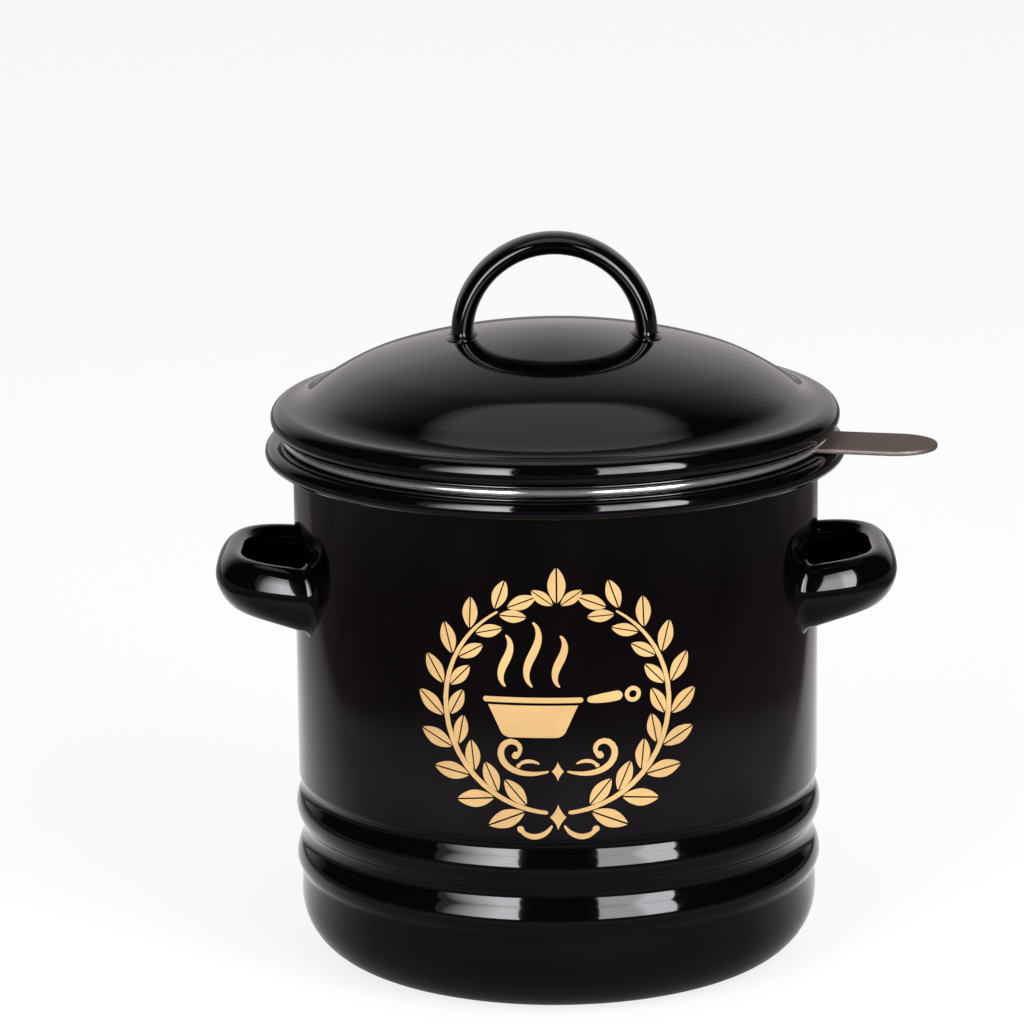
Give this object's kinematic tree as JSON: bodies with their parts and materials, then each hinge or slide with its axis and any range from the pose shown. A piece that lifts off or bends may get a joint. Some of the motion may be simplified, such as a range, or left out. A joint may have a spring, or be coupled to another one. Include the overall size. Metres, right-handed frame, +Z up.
{
  "type": "lidded pot with strainer",
  "caption": "Round enamelled pot for kitchen fat: rolled rim, beaded foot, two side loops, lift-out strainer with strap handle and domed lid with arched handle.",
  "frame": {"origin": "centre of the flat underside of the base, on the table", "axes": "+Z up along the pot's axis, -Y towards the viewer (the printed front), +X to the right handle; the strainer's strap points 12 degrees from +X towards the front"},
  "size_m": [0.1748, 0.141, 0.1787],
  "materials": {
    "enamel": "gloss",
    "strainer_steel": "satin",
    "mesh_wire": "satin",
    "strap_steel": "satin",
    "gold_print": "satin"
  },
  "bodies": {
    "pot": {"pot_body": "enamel", "left_handle": "enamel", "right_handle": "enamel"},
    "strainer": {"strainer_bowl": "strainer_steel", "strainer_mesh": "mesh_wire", "strainer_ring": "strainer_steel", "strainer_handle": "strap_steel"},
    "lid": {"lid_dome": "enamel", "lid_skirt": "enamel", "lid_handle": "enamel"}
  },
  "joints": [
    {"name": "strainer_lift", "type": "slide", "parent": "pot", "child": "strainer", "axis": [0, 0, 1], "range_m": [0, 0.0275]},
    {"name": "lid_lift", "type": "slide", "parent": "strainer", "child": "lid", "axis": [0, 0, 1], "range_m": [0, 0.0275]}
  ]
}
